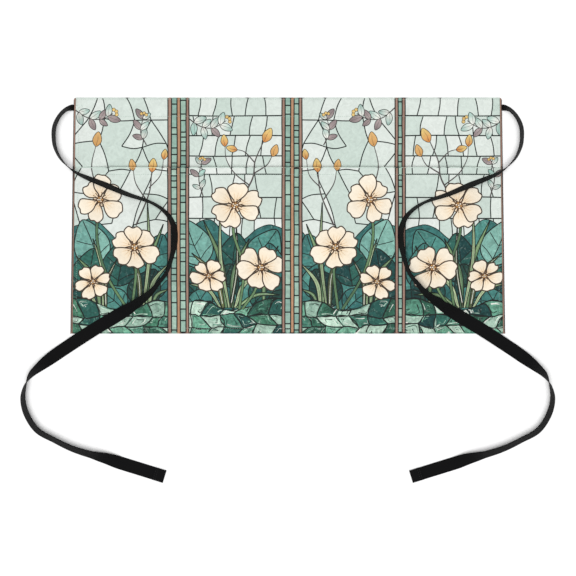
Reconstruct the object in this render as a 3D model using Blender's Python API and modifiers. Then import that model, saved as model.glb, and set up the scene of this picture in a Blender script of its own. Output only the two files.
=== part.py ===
# Waist apron with one full-width pocket and two tape ties, laid flat on its back with the front facing up.
# Metres, +Z up. X runs across the apron, +Y points to the waist edge, and Z = 0 is the surface it lies on.
# The origin is under the middle of the cloth.

import math

import bmesh
import bpy
import numpy as np

# Layers
CLOTH = 0.0010  # one layer of the printed canvas
TAPE = 0.0010  # thickness of the tie tape
GAP = 0.0003  # clearance between two pieces that touch

# Outline of the apron, seen from the front
TOP_WIDTH = 0.595
BOTTOM_WIDTH = 0.604
HEIGHT = 0.328
CORNER_RADIUS = 0.004  # the two corners at the waist edge

# Turned-under hems of the main panel, and the run in which the cloth comes down from them to the surface
WAIST_HEM = 0.028
SIDE_HEM = 0.012
BOTTOM_HEM = 0.012
HEM_FALL = 0.008

# Pocket: sewn flat along its sides and bottom, and gaping a little between them
POCKET_DEPTH = 0.231
POCKET_SEAM = 0.008
SIDE_RISE = 0.055
BOTTOM_RISE = 0.060
MOUTH_HEM = 0.012
MOUTH_CLEAR = 0.0070  # open height under the hem of the mouth, over the thickest part of the main panel

# Ties: one tape at each end of the waist hem
TAPE_WIDTH = 0.018
TIE_TUCK = 0.014  # length sewn into the end of the waist hem
TIE_ROOT_WIDTH = 0.0085  # the tape is gathered to this width there
TIE_GATHER = 0.012  # run in which it widens to its full width, outside the edge
TIE_END_FOLD = 0.015  # length turned back at the free end
TIE_ROOT_POINTS = 24  # points of the tie's curve along its first, sharply turning run
TIE_POINTS = 56  # and along the rest
TIE_CLIMB = 0.025  # run in which a tie climbs on to the cloth
TIE_ROOT_RUN = 0.050  # length in which the tie comes out from under the waist hem and turns on edge

# Route of the left tie's middle line from where it leaves the side edge. The right tie is its mirror image.
# Columns: outwards from the edge and up towards the waist, in metres, then the tape's roll in degrees.
# Roll 0 and 180 lie flat and 90 stands on edge.
TIE_ROUTE = (
    (-TIE_TUCK, 0.000, 0),
    (-0.004, 0.000, 0),
    (0.0026, 0.000, 0),
    (0.0074, -0.0004, 60),
    (0.0112, -0.0035, 69),
    (0.0155, -0.0085, 70),
    (0.0212, -0.0155, 70),
    (0.0265, -0.0255, 71),
    (0.028, -0.0365, 71),
    (0.0258, -0.053, 73),
    (0.019, -0.069, 80),
    (0.0085, -0.081, 88),
    (-0.005, -0.091, 99),
    (-0.020, -0.098, 108),
    (-0.045, -0.108, 114),
    (-0.076, -0.121, 108),
    (-0.108, -0.132, 100),
    (-0.123, -0.141, 103),
    (-0.1345, -0.153, 107),
    (-0.1405, -0.168, 112),
    (-0.1412, -0.185, 114),
    (-0.1372, -0.207, 105),
    (-0.1295, -0.230, 101),
    (-0.1185, -0.244, 104),
    (-0.107, -0.2575, 113),
    (-0.083, -0.2755, 136),
    (-0.0625, -0.288, 170),
    (-0.0315, -0.3065, 180),
    (-0.001, -0.326, 180),
    (0.027, -0.345, 164),
    (0.0465, -0.360, 132),
    (0.0585, -0.371, 112),
    (0.0665, -0.386, 77),
    (0.0698, -0.403, 65),
    (0.0655, -0.424, 61),
    (0.0505, -0.4475, 61),
    (0.0265, -0.4615, 64),
    (0.0015, -0.4735, 61),
    (-0.025, -0.482, 56),
    (-0.048, -0.488, 28),
    (-0.066, -0.494, 0),
    (-0.095, -0.503, 0),
    (-0.1255, -0.5125, 0),
)

# Heights that follow from the layers
RIM_TOP = 2 * CLOTH + GAP  # top of the main panel over its hems
SEAM_UNDER = RIM_TOP + GAP  # underside of the pocket along its seams
MOUTH_LAYER = CLOTH + GAP  # what the hem of the mouth adds under the pocket
GAPE_UNDER = RIM_TOP + MOUTH_CLEAR + MOUTH_LAYER  # underside of the pocket where it gapes

# Edges that follow from the outline
MEAN_WIDTH = (TOP_WIDTH + BOTTOM_WIDTH) / 2
SIDE = MEAN_WIDTH / 2
WAIST = HEIGHT / 2
BOTTOM = -HEIGHT / 2
MOUTH = BOTTOM + POCKET_DEPTH
TIE_HEIGHT = WAIST - WAIST_HEM / 2

parts = bpy.data.collections.new("waist_apron")
helpers = bpy.data.collections.new("helpers")


def clear_scene():
    for thing in list(bpy.data.objects):
        bpy.data.objects.remove(thing)
    for collection in (parts, helpers):
        bpy.context.scene.collection.children.link(collection)


def material(name, colour, roughness):
    made = bpy.data.materials.new(name)
    made.use_nodes = True
    shader = made.node_tree.nodes["Principled BSDF"]
    shader.inputs["Base Color"].default_value = (*colour, 1.0)
    shader.inputs["Roughness"].default_value = roughness
    shader.inputs["Metallic"].default_value = 0.0
    return made


def add_part(name, data, finish):
    thing = bpy.data.objects.new(name, data)
    data.materials.append(finish)
    parts.objects.link(thing)
    return thing


def mesh_part(name, shape, finish):
    mesh = bpy.data.meshes.new(name)
    shape.to_mesh(mesh)
    shape.free()
    return add_part(name, mesh, finish)


def smoothstep(share):
    share = min(max(share, 0.0), 1.0)
    return share * share * (3 - 2 * share)


def flared(x, y):
    """The x of a point of the mean rectangle once the sides slope from the top width to the bottom width."""
    up = (y - BOTTOM) / HEIGHT
    return x * (BOTTOM_WIDTH + (TOP_WIDTH - BOTTOM_WIDTH) * up) / MEAN_WIDTH


def main_under(x, y):
    """Underside of the main panel: it lies on its hems along the edges and on the surface between them."""
    past_hem = min(SIDE - abs(x) - SIDE_HEM, WAIST - y - WAIST_HEM, y - BOTTOM - BOTTOM_HEM)
    return (CLOTH + GAP) * (1 - smoothstep(past_hem / HEM_FALL))


def pocket_under(x, y):
    """Underside of the pocket: flat along its seams, raised by its own hem at the mouth, and gaping between."""
    past_mouth_hem = MOUTH - y - MOUTH_HEM
    seam = SEAM_UNDER + MOUTH_LAYER * (1 - smoothstep(past_mouth_hem / HEM_FALL))
    from_sides = smoothstep((SIDE - abs(x) - POCKET_SEAM) / SIDE_RISE)
    from_bottom = smoothstep((y - BOTTOM - POCKET_SEAM) / BOTTOM_RISE)
    return seam + (GAPE_UNDER - seam) * from_sides * from_bottom


def mouth_hem_under(x, y):
    return pocket_under(x, y) - MOUTH_LAYER


def steps(start, end, count):
    return [start + (end - start) * i / count for i in range(count)]


def sheet(name, xs, ys, under, finish, rounded=False):
    """One layer of cloth over a grid of the mean rectangle, its underside at the height that under gives."""
    shape = bmesh.new()
    columns, rows = len(xs) - 1, len(ys) - 1
    bmesh.ops.create_grid(shape, x_segments=columns, y_segments=rows, size=1)
    for vert in shape.verts:
        x = xs[round((vert.co.x + 1) / 2 * columns)]
        y = ys[round((vert.co.y + 1) / 2 * rows)]
        vert.co = (flared(x, y), y, under(x, y))
    if rounded:
        corners = [vert for vert in shape.verts if len(vert.link_edges) == 2 and vert.co.y > 0]
        bmesh.ops.bevel(shape, geom=corners, offset=CORNER_RADIUS, segments=4, profile=0.5, affect="VERTICES")
    thing = mesh_part(name, shape, finish)
    layer = thing.modifiers.new("cloth", "SOLIDIFY")
    layer.thickness = CLOTH
    layer.offset = 1
    return thing


def moulded_cube(place):
    """A unit cube from -0.5 to 0.5 with each corner moved to where place puts it, its faces outwards."""
    shape = bmesh.new()
    bmesh.ops.create_cube(shape, size=1)
    for vert in shape.verts:
        vert.co = place(*vert.co)
    shape.normal_update()
    bmesh.ops.recalc_face_normals(shape, faces=shape.faces)
    return shape


def strip(low, high):
    """A flat hem layer on the surface between two corners of the mean rectangle."""

    def place(along, up, layer):
        x = (low[0] + high[0]) / 2 + along * (high[0] - low[0])
        y = (low[1] + high[1]) / 2 + up * (high[1] - low[1])
        return flared(x, y), y, CLOTH * (layer + 0.5)

    return moulded_cube(place)


def hidden(thing):
    thing.hide_render = True
    thing.display_type = "WIRE"
    helpers.objects.link(thing)
    return thing


def main_panel(finish):
    in_side = SIDE - SIDE_HEM
    in_waist = WAIST - WAIST_HEM
    in_bottom = BOTTOM + BOTTOM_HEM
    right = [0, *steps(in_side - HEM_FALL, in_side, 4), in_side, SIDE]
    xs = [-x for x in reversed(right[1:])] + right
    ys = [BOTTOM, *steps(in_bottom, in_bottom + HEM_FALL, 4), in_bottom + HEM_FALL]
    ys += [*steps(in_waist - HEM_FALL, in_waist, 4), in_waist, WAIST]
    sheet("main_panel", xs, ys, main_under, finish, rounded=True)


def tie_slot(side):
    """Cutter for the slot at one end of the waist hem, where the tie is sewn in."""

    def place(along, up, layer):
        inwards = (along + 0.5) * (TIE_TUCK + GAP + SIDE_HEM) - SIDE_HEM
        x = side * (flared(SIDE, TIE_HEIGHT) - inwards)
        return x, TIE_HEIGHT + up * (TIE_ROOT_WIDTH + 2 * GAP), CLOTH * (0.5 + 2 * layer)

    mesh = bpy.data.meshes.new("tie_slot")
    shape = moulded_cube(place)
    shape.to_mesh(mesh)
    shape.free()
    return hidden(bpy.data.objects.new("tie_slot", mesh))


def main_hems(finish):
    """The four turned-under edges of the main panel."""
    in_waist = WAIST - WAIST_HEM
    in_bottom = BOTTOM + BOTTOM_HEM
    waist = strip((-SIDE, in_waist), (SIDE, WAIST))
    upright = [edge for edge in waist.edges if abs(edge.verts[0].co.z - edge.verts[1].co.z) > CLOTH / 2]
    outer = [edge for edge in upright if edge.verts[0].co.y > in_waist + GAP]
    bmesh.ops.bevel(waist, geom=outer, offset=CORNER_RADIUS, segments=4, profile=0.5, affect="EDGES")
    waist_hem = mesh_part("waist_hem", waist, finish)
    for side in (-1, 1):
        cut = waist_hem.modifiers.new("tie_slot", "BOOLEAN")
        cut.object = tie_slot(side)
        cut.operation = "DIFFERENCE"
    mesh_part("bottom_hem", strip((-SIDE, BOTTOM), (SIDE, in_bottom)), finish)
    low, high = in_bottom + GAP, in_waist - GAP
    mesh_part("left_side_hem", strip((-SIDE, low), (-SIDE + SIDE_HEM, high)), finish)
    mesh_part("right_side_hem", strip((SIDE - SIDE_HEM, low), (SIDE, high)), finish)


def pocket(front_finish, hem_finish):
    in_seam = SIDE - POCKET_SEAM
    right = [0, SIDE / 4, SIDE / 2, *steps(in_seam - SIDE_RISE, in_seam, 6), in_seam, SIDE]
    xs = [-x for x in reversed(right[1:])] + right
    above_seam = BOTTOM + POCKET_SEAM
    rise_end = above_seam + BOTTOM_RISE
    in_mouth = MOUTH - MOUTH_HEM
    ys = [BOTTOM, *steps(above_seam, rise_end, 6), *steps(rise_end, in_mouth - HEM_FALL, 2)]
    ys += [*steps(in_mouth - HEM_FALL, in_mouth, 2), in_mouth, MOUTH]
    sheet("pocket_panel", xs, ys, pocket_under, front_finish)
    sheet("pocket_mouth_hem", xs, [in_mouth, MOUTH], mouth_hem_under, hem_finish)


def cloth_top(x, y):
    """Height of the uppermost cloth at a point, ramped down to the surface over the climb outside the edges."""
    nominal = x * MEAN_WIDTH / (2 * flared(SIDE, y))
    inside_x = min(max(nominal, -SIDE), SIDE)
    inside_y = min(max(y, BOTTOM), WAIST)
    outside = math.hypot(nominal - inside_x, y - inside_y)
    on_pocket = inside_y <= MOUTH + TAPE_WIDTH / 2
    under = pocket_under(inside_x, min(inside_y, MOUTH)) if on_pocket else main_under(inside_x, inside_y)
    return (under + CLOTH) * smoothstep(1 + TAPE / TIE_CLIMB - outside / TIE_CLIMB)


def smooth_route():
    """Points of a smooth curve through the route, as rows of x, y, roll and distance run."""
    route = np.array(TIE_ROUTE, dtype=float)
    places = route[:, :2] * (-1, 1) + (-flared(SIDE, TIE_HEIGHT), TIE_HEIGHT)
    knots = np.concatenate([[0], np.cumsum(np.hypot(*np.diff(places, axis=0).T) ** 0.5)])
    slopes = np.gradient(places, knots, axis=0)
    fine = np.linspace(0, knots[-1], 40 * TIE_POINTS)
    at = np.clip(np.searchsorted(knots, fine, side="right") - 1, 0, len(knots) - 2)
    width = (knots[at + 1] - knots[at])[:, None]
    u = (fine - knots[at])[:, None] / width
    curve = (
        (2 * u**3 - 3 * u**2 + 1) * places[at]
        + (u**3 - 2 * u**2 + u) * width * slopes[at]
        + (3 * u**2 - 2 * u**3) * places[at + 1]
        + (u**3 - u**2) * width * slopes[at + 1]
    )
    run = np.concatenate([[0], np.cumsum(np.hypot(*np.diff(curve, axis=0).T))])
    columns = (curve[:, 0], curve[:, 1], np.interp(fine, knots, route[:, 2]))
    chosen = np.concatenate([
        np.linspace(0, TIE_ROOT_RUN, TIE_ROOT_POINTS, endpoint=False),
        np.linspace(TIE_ROOT_RUN, run[-1], TIE_POINTS),
    ])
    return np.column_stack([np.interp(chosen, run, column) for column in columns] + [chosen])


def tape_width(run):
    """The tape is gathered where it is sewn in and widens outside the edge."""
    return TIE_ROOT_WIDTH + (TAPE_WIDTH - TIE_ROOT_WIDTH) * smoothstep((run - TIE_TUCK) / TIE_GATHER)


def tie_middle():
    """The left tie's middle line as rows of x, y, z, roll and width, resting on the surface and on the apron."""
    points = smooth_route()
    heading = np.gradient(points[:, :2], points[:, 3], axis=0)
    heading /= np.hypot(heading[:, 0], heading[:, 1])[:, None]
    aside = np.column_stack([-heading[:, 1], heading[:, 0]])
    roll = np.radians(points[:, 2])
    heights = []
    for i, (x, y, _, run) in enumerate(points):
        if run < TIE_ROOT_RUN:
            heights.append((TAPE * abs(math.cos(roll[i])) + tape_width(run) * abs(math.sin(roll[i])) + GAP) / 2)
            continue
        needed = []
        for across in np.linspace(-TAPE_WIDTH / 2, TAPE_WIDTH / 2, 7):
            out = across * math.cos(roll[i])
            lower = across * math.sin(roll[i]) - TAPE / 2 * abs(math.cos(roll[i]))
            needed.append(cloth_top(x + out * aside[i, 0], y + out * aside[i, 1]) + GAP - lower)
        heights.append(max(needed))
    widths = [tape_width(run) for run in points[:, 3]]
    return np.column_stack([points[:, :2], heights, roll, widths])


def tie(name, side, finish):
    """A tape swept along the middle line: side -1 is the left tie and 1 its mirror image."""
    data = bpy.data.curves.new(name, "CURVE")
    data.dimensions = "3D"
    data.twist_mode = "Z_UP"
    data.extrude = TAPE_WIDTH / 2
    middle = tie_middle()
    spline = data.splines.new("POLY")
    spline.points.add(len(middle) - 1)
    for point, (x, y, z, roll, width) in zip(spline.points, middle):
        point.co = (-side * x, y, z, 1)
        point.tilt = side * (math.pi / 2 - roll)
        point.radius = width / TAPE_WIDTH
    tape = add_part(name, data, finish)
    # Triangles come before the thickness, so that both faces of the twisted tape fold along the same lines
    tape.modifiers.new("triangles", "TRIANGULATE")
    layer = tape.modifiers.new("tape", "SOLIDIFY")
    layer.thickness = TAPE
    layer.offset = 0
    return tape


def tie_end_fold(name, side, finish):
    """The turned-back end: a second layer of tape on the last stretch."""
    middle = tie_middle()
    end_x, end_y, end_z = middle[-1, :3]
    back = middle[-2, :2] - middle[-1, :2]
    back /= np.hypot(*back)

    def place(along, across, layer):
        run = (0.5 + along) * TIE_END_FOLD
        aside = across * TAPE_WIDTH
        x = end_x + run * back[0] - aside * back[1]
        y = end_y + run * back[1] + aside * back[0]
        return -side * x, y, end_z + TAPE / 2 + GAP + (0.5 + layer) * TAPE

    return mesh_part(name, moulded_cube(place), finish)


def build():
    clear_scene()
    print_cloth = material("printed_canvas", (0.42, 0.60, 0.55), 0.85)
    pocket_cloth = material("printed_pocket_canvas", (0.33, 0.52, 0.46), 0.85)
    hem_cloth = material("printed_hem_canvas", (0.48, 0.60, 0.55), 0.87)
    black_tape = material("black_twill_tape", (0.010, 0.010, 0.011), 0.80)
    main_panel(print_cloth)
    main_hems(hem_cloth)
    pocket(pocket_cloth, hem_cloth)
    for name, side in (("left", -1), ("right", 1)):
        tie(f"{name}_tie", side, black_tape)
        tie_end_fold(f"{name}_tie_end_fold", side, black_tape)


build()
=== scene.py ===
# A waist apron laid flat on a table and seen from straight above: printed canvas with one wide pocket
# and two ties of black twill tape. Metres, +Z up. The printed design alone is drawn in millimetres.
import math
import random

import bmesh
import bpy
import numpy as np
from mathutils import Matrix, Vector
from mathutils.geometry import delaunay_2d_cdt


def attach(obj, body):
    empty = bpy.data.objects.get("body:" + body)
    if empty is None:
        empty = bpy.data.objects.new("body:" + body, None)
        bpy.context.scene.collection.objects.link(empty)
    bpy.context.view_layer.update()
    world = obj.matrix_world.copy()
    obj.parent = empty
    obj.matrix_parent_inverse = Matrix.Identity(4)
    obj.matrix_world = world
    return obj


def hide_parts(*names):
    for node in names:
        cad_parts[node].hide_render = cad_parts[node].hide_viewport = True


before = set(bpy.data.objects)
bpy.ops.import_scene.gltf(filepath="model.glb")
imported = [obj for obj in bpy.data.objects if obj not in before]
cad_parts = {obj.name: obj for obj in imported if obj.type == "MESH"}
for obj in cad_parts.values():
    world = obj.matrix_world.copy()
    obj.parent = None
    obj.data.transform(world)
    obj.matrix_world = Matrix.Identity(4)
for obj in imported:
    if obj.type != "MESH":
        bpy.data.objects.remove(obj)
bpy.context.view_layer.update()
scene = bpy.context.scene
print("frame loaded:", ", ".join(sorted(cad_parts)))


# Camera: straight above, with a long lens, framed as the photo is
camera = {"centre": (0.0003, -0.1006), "width": 0.8006, "lens": 200, "sensor": 36}


def addCamera():
    data = bpy.data.cameras.new("camera")
    data.lens = camera["lens"]
    data.sensor_width = camera["sensor"]
    distance = camera["width"] * camera["lens"] / camera["sensor"]
    thing = bpy.data.objects.new("camera", data)
    thing.location = (*camera["centre"], distance)
    scene.collection.objects.link(thing)
    scene.camera = thing


addCamera()


# Materials

def toLinear(hexColour):
    parts = [int(hexColour[i:i + 2], 16) / 255 for i in (1, 3, 5)]
    return [c / 12.92 if c <= 0.04045 else ((c + 0.055) / 1.055) ** 2.4 for c in parts] + [1.0]


# Adds one node with its settings. An input that is given another node's output is linked to it.
def addNode(tree, kind, inputs=None, **settings):
    made = tree.nodes.new("ShaderNode" + kind)
    for name, value in settings.items():
        setattr(made, name, value)
    for key, value in (inputs or {}).items():
        if isinstance(value, bpy.types.NodeSocket):
            tree.links.new(value, made.inputs[key])
        else:
            made.inputs[key].default_value = value
    return made


def newMaterial(name, roughness):
    made = bpy.data.materials.new(name)
    made.use_nodes = True
    shader = made.node_tree.nodes["Principled BSDF"]
    shader.inputs["Roughness"].default_value = roughness
    return made, made.node_tree, shader


# Cotton canvas. Its real thread spacing is 0.5 mm, drawn coarser so that it shows. The noise scales give
# watery ink of 8 mm, milky veins of 13 mm, slubs of 2 mm and seam puckers of 5 mm.
canvas = {"thread": 0.0009, "relief": 0.00012, "water": 120, "marbling": 0.80, "veins": 75,
          "veinColour": "#d8eadf", "slubs": 420, "puckers": 190, "groove": 0.0005, "grooveStrength": 0.55}


# Plain weave: warp and weft as two crossed waves, which cross over and under each other
def weaveBump(tree, place, strength):
    waves = [addNode(tree, "TexWave", {"Vector": place, "Scale": math.pi / (10 * canvas["thread"]),
                                       "Distortion": 0.6, "Detail": 1.0, "Detail Scale": 3.0},
                     bands_direction=axis).outputs["Fac"] for axis in "XY"]
    crossed = addNode(tree, "Math", {0: waves[0], 1: waves[1]}, operation="ADD").outputs[0]
    bump = addNode(tree, "Bump", {"Height": crossed, "Distance": canvas["relief"], "Strength": strength})
    return bump.outputs[0], crossed


# Pull of the seams: a shallow groove along each row of stitches, with uneven puckers beside it
def seamBump(tree, place, before):
    apart = addNode(tree, "SeparateXYZ", {0: place})
    up = apart.outputs["Y"]
    aside = addNode(tree, "Math", {0: apart.outputs["X"]}, operation="ABSOLUTE")
    slope = (cloth["bottomWidth"] - cloth["topWidth"]) / 2 / cloth["height"]
    square = addNode(tree, "Math", {0: up, 1: slope, 2: aside.outputs[0]}, operation="MULTIPLY_ADD")
    near = None
    for source, at in ((square.outputs[0], sideX - seam["side"]), (up, bottomY + seam["side"]),
                       (up, mouthY - seam["mouth"]), (up, waistY - seam["waist"]),
                       (up, waistY - seam["top"])):
        off = addNode(tree, "Math", {0: source, 1: at}, operation="SUBTRACT")
        size = addNode(tree, "Math", {0: off.outputs[0]}, operation="ABSOLUTE").outputs[0]
        near = addNode(tree, "Math", {0: size, 1: near}, operation="MINIMUM").outputs[0] if near else size
    depth = addNode(tree, "MapRange", {"Value": near, "From Max": seam["pull"]},
                    interpolation_type="SMOOTHSTEP")
    pucker = addNode(tree, "TexNoise", {"Vector": place, "Scale": canvas["puckers"], "Detail": 2})
    flat = addNode(tree, "Mix", {0: depth.outputs[0], 2: pucker.outputs["Fac"], 3: 1.0})
    bump = addNode(tree, "Bump", {"Height": flat.outputs[0], "Distance": canvas["groove"],
                                  "Strength": canvas["grooveStrength"], "Normal": before})
    return bump.outputs[0]


# Cotton canvas printed by transfer on its face: matt, with the weave under the ink and watery tone in each
# pane. The colour attribute "ink" holds the ink, and its alpha says how marbled the ink is.
def printedCanvas():
    made, tree, shader = newMaterial("printedCottonCanvas", 0.82)
    place = addNode(tree, "TexCoord").outputs["Object"]
    ink = addNode(tree, "Attribute", attribute_name="ink")
    water = addNode(tree, "TexNoise", {"Vector": place, "Scale": canvas["water"], "Detail": 5,
                                       "Roughness": 0.62, "Distortion": 1.4})
    swing = addNode(tree, "MapRange", {"Value": water.outputs["Fac"], "From Min": 0.28, "From Max": 0.72,
                                       "To Min": -canvas["marbling"], "To Max": canvas["marbling"]})
    depth = addNode(tree, "Math", {0: swing.outputs[0], 1: ink.outputs["Alpha"], 2: 1.0},
                    operation="MULTIPLY_ADD")
    shaded = addNode(tree, "VectorMath", {0: ink.outputs["Color"], "Scale": depth.outputs[0]},
                     operation="SCALE")
    smoke = addNode(tree, "TexNoise", {"Vector": place, "Scale": canvas["veins"], "Detail": 4,
                                       "Roughness": 0.7, "Distortion": 2.6})
    veins = addNode(tree, "MapRange", {"Value": smoke.outputs["Fac"], "From Min": 0.56, "From Max": 0.78,
                                       "To Max": 0.55}, interpolation_type="SMOOTHSTEP")
    milk = addNode(tree, "Math", {0: veins.outputs[0], 1: ink.outputs["Alpha"]}, operation="MULTIPLY")
    marbled = addNode(tree, "Mix", {0: milk.outputs[0], 6: shaded.outputs[0],
                                    7: toLinear(canvas["veinColour"])}, data_type="RGBA")
    bump, crossed = weaveBump(tree, place, 0.35)
    # Painted shade and light of the weave: the colour is darker in the hollows between the threads and
    # lighter on their crowns
    threadShading = addNode(tree, "MapRange", {"Value": crossed, "From Max": 2.0, "To Min": 0.94, "To Max": 1.03})
    weaveShadedInk = addNode(tree, "Mix", {0: 1.0, 6: marbled.outputs[2], 7: threadShading.outputs[0]}, data_type="RGBA",
                    blend_type="MULTIPLY")
    tree.links.new(weaveShadedInk.outputs[2], shader.inputs["Base Color"])
    tree.links.new(seamBump(tree, place, bump), shader.inputs["Normal"])
    shader.inputs["Sheen Weight"].default_value = 0.08
    shader.inputs["Specular IOR Level"].default_value = 0.25
    return made


# The unprinted back of the same canvas: off-white, with the weave and a few darker slubs
def canvasReverse():
    made, tree, shader = newMaterial("unprintedCottonCanvas", 0.88)
    place = addNode(tree, "TexCoord").outputs["Object"]
    slubs = addNode(tree, "TexNoise", {"Vector": place, "Scale": canvas["slubs"], "Detail": 3})
    tone = addNode(tree, "ValToRGB", {"Fac": slubs.outputs["Fac"]})
    ends = tone.color_ramp.elements
    ends[0].color, ends[1].color = toLinear("#d9d9cf"), toLinear("#efefe8")
    tree.links.new(tone.outputs["Color"], shader.inputs["Base Color"])
    tree.links.new(weaveBump(tree, place, 0.5)[0], shader.inputs["Normal"])
    shader.inputs["Specular IOR Level"].default_value = 0.25
    return made


# Black cotton twill tape: fine diagonal ribs that turn back along the middle, with painted light on the ribs
def twillTape():
    made, tree, shader = newMaterial("blackCottonTwillTape", 0.78)
    apart = addNode(tree, "SeparateXYZ", {0: addNode(tree, "UVMap").outputs[0]})
    aside = addNode(tree, "Math", {0: apart.outputs["Y"]}, operation="ABSOLUTE")
    slant = addNode(tree, "Math", {0: apart.outputs["X"], 1: aside.outputs[0]}, operation="ADD")
    phase = addNode(tree, "Math", {0: slant.outputs[0], 1: 2 * math.pi / tape["rib"]}, operation="MULTIPLY")
    rib = addNode(tree, "Math", {0: phase.outputs[0]}, operation="SINE")
    # Painted light on the ribs: the colour is slightly lighter on their crowns and darker between them
    tone = addNode(tree, "MapRange", {"Value": rib.outputs[0], "From Min": -1.0})
    shade = addNode(tree, "ValToRGB", {"Fac": tone.outputs[0]})
    ends = shade.color_ramp.elements
    ends[0].color, ends[1].color = toLinear("#040405"), toLinear("#0e0e0f")
    bump = addNode(tree, "Bump", {"Height": rib.outputs[0], "Distance": tape["ribHeight"], "Strength": 0.6})
    tree.links.new(shade.outputs["Color"], shader.inputs["Base Color"])
    tree.links.new(bump.outputs[0], shader.inputs["Normal"])
    shader.inputs["Sheen Weight"].default_value = 0.02
    shader.inputs["Specular IOR Level"].default_value = 0.10
    return made


# Spun polyester sewing thread, with a fine uneven twist
def sewingThread(name, hexColour):
    made, tree, shader = newMaterial(name, 0.55)
    place = addNode(tree, "TexCoord").outputs["Object"]
    twist = addNode(tree, "TexNoise", {"Vector": place, "Scale": stitch["twist"], "Detail": 2}).outputs["Fac"]
    bump = addNode(tree, "Bump", {"Height": twist, "Distance": 0.00005, "Strength": 0.6})
    value = addNode(tree, "MapRange", {"Value": twist, "To Min": 0.8, "To Max": 1.15})
    tone = addNode(tree, "HueSaturation", {"Color": toLinear(hexColour), "Value": value.outputs[0]})
    tree.links.new(tone.outputs[0], shader.inputs["Base Color"])
    tree.links.new(bump.outputs[0], shader.inputs["Normal"])
    return made


# Table top of matt white-painted board
def paintedBoard():
    made, tree, shader = newMaterial("mattWhiteBoard", 0.9)
    place = addNode(tree, "TexCoord").outputs["Object"]
    grain = addNode(tree, "TexNoise", {"Vector": place, "Scale": 3, "Detail": 2})
    tone = addNode(tree, "ValToRGB", {"Fac": grain.outputs["Fac"]})
    ends = tone.color_ramp.elements
    ends[0].color, ends[1].color = toLinear("#fbfbfb"), toLinear("#fdfdfd")
    tree.links.new(tone.outputs["Color"], shader.inputs["Base Color"])
    return made


# The cloth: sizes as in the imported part
cloth = {
    "layer": 0.0010, "gap": 0.0003, "topWidth": 0.595, "bottomWidth": 0.604, "height": 0.328, "corner": 0.004,
    "waistHem": 0.028, "sideHem": 0.012, "bottomHem": 0.012, "hemFall": 0.008,
    "pocketDepth": 0.231, "pocketSeam": 0.008, "sideRise": 0.055, "bottomRise": 0.060,
    "mouthHem": 0.012, "mouthClear": 0.0070,
}
# Rows of stitches, as distances in from the edges, and how far beside them the cloth is pulled down
seam = {"side": 0.0075, "mouth": 0.0102, "waist": 0.0262, "top": 0.0028, "pull": 0.0040}
meanWidth = (cloth["topWidth"] + cloth["bottomWidth"]) / 2
sideX = meanWidth / 2
waistY = cloth["height"] / 2
bottomY = -waistY
mouthY = bottomY + cloth["pocketDepth"]


def smoothStep(share):
    share = min(max(share, 0.0), 1.0)
    return share * share * (3 - 2 * share)


# The side edges slope from the width at the waist to the width at the bottom
def flared(x, y):
    up = (y - bottomY) / cloth["height"]
    return x * (cloth["bottomWidth"] + (cloth["topWidth"] - cloth["bottomWidth"]) * up) / meanWidth


# Turns a real x into the x of the mean rectangle, in which the height functions work
def unflared(x, y):
    return x * meanWidth / (2 * flared(sideX, y))


# Height of the main cloth's underside: on its hems along the edges, on the table elsewhere
def mainUnder(x, y):
    pastHem = min(sideX - abs(x) - cloth["sideHem"], waistY - y - cloth["waistHem"],
                  y - bottomY - cloth["bottomHem"])
    return (cloth["layer"] + cloth["gap"]) * (1 - smoothStep(pastHem / cloth["hemFall"]))


# Height of the pocket's underside: sewn down along three edges, and gaping towards its mouth
def pocketUnder(x, y):
    layer, gap = cloth["layer"], cloth["gap"]
    overHem = 1 - smoothStep((mouthY - y - cloth["mouthHem"]) / cloth["hemFall"])
    sewn = 2 * layer + 2 * gap + (layer + gap) * overHem
    gape = 3 * layer + 2 * gap + cloth["mouthClear"]
    fromSides = smoothStep((sideX - abs(x) - cloth["pocketSeam"]) / cloth["sideRise"])
    fromBottom = smoothStep((y - bottomY - cloth["pocketSeam"]) / cloth["bottomRise"])
    return sewn + (gape - sewn) * fromSides * fromBottom


# Open edges are marked sharp, so that the cut edge of a sheet doesn't shade the face beside it
def addPiece(name, shape, finish):
    mesh = bpy.data.meshes.new(name)
    for edge in shape.edges:
        edge.smooth = not edge.is_boundary
    shape.normal_update()
    shape.to_mesh(mesh)
    shape.free()
    mesh.materials.append(finish)
    for face in mesh.polygons:
        face.use_smooth = True
    thing = bpy.data.objects.new(name, mesh)
    scene.collection.objects.link(thing)
    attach(thing, "root")
    return thing


# A grid of points over a unit square, each moved to where place puts it, with its UV in metres from uvAt
# and its printed colour from inkAt
def gridPiece(name, columns, rows, place, finish, uvAt=None, inkAt=None):
    shape = bmesh.new()
    uv = shape.loops.layers.uv.new("UVMap")
    ink = shape.loops.layers.float_color.new("ink") if inkAt else None
    bmesh.ops.create_grid(shape, x_segments=columns, y_segments=rows, size=1)
    where = {vert: ((vert.co.x + 1) / 2, (vert.co.y + 1) / 2) for vert in shape.verts}
    for vert, (s, t) in where.items():
        vert.co = place(s, t)
        for loop in vert.link_loops:
            if uvAt:
                loop[uv].uv = uvAt(s, t)
            if inkAt:
                loop[ink] = inkAt(s, t)
    return addPiece(name, shape, finish)


def addThickness(piece, thickness, offset=0):
    layer = piece.modifiers.new("layer", "SOLIDIFY")
    layer.thickness, layer.offset = thickness, offset
    return layer


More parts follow.
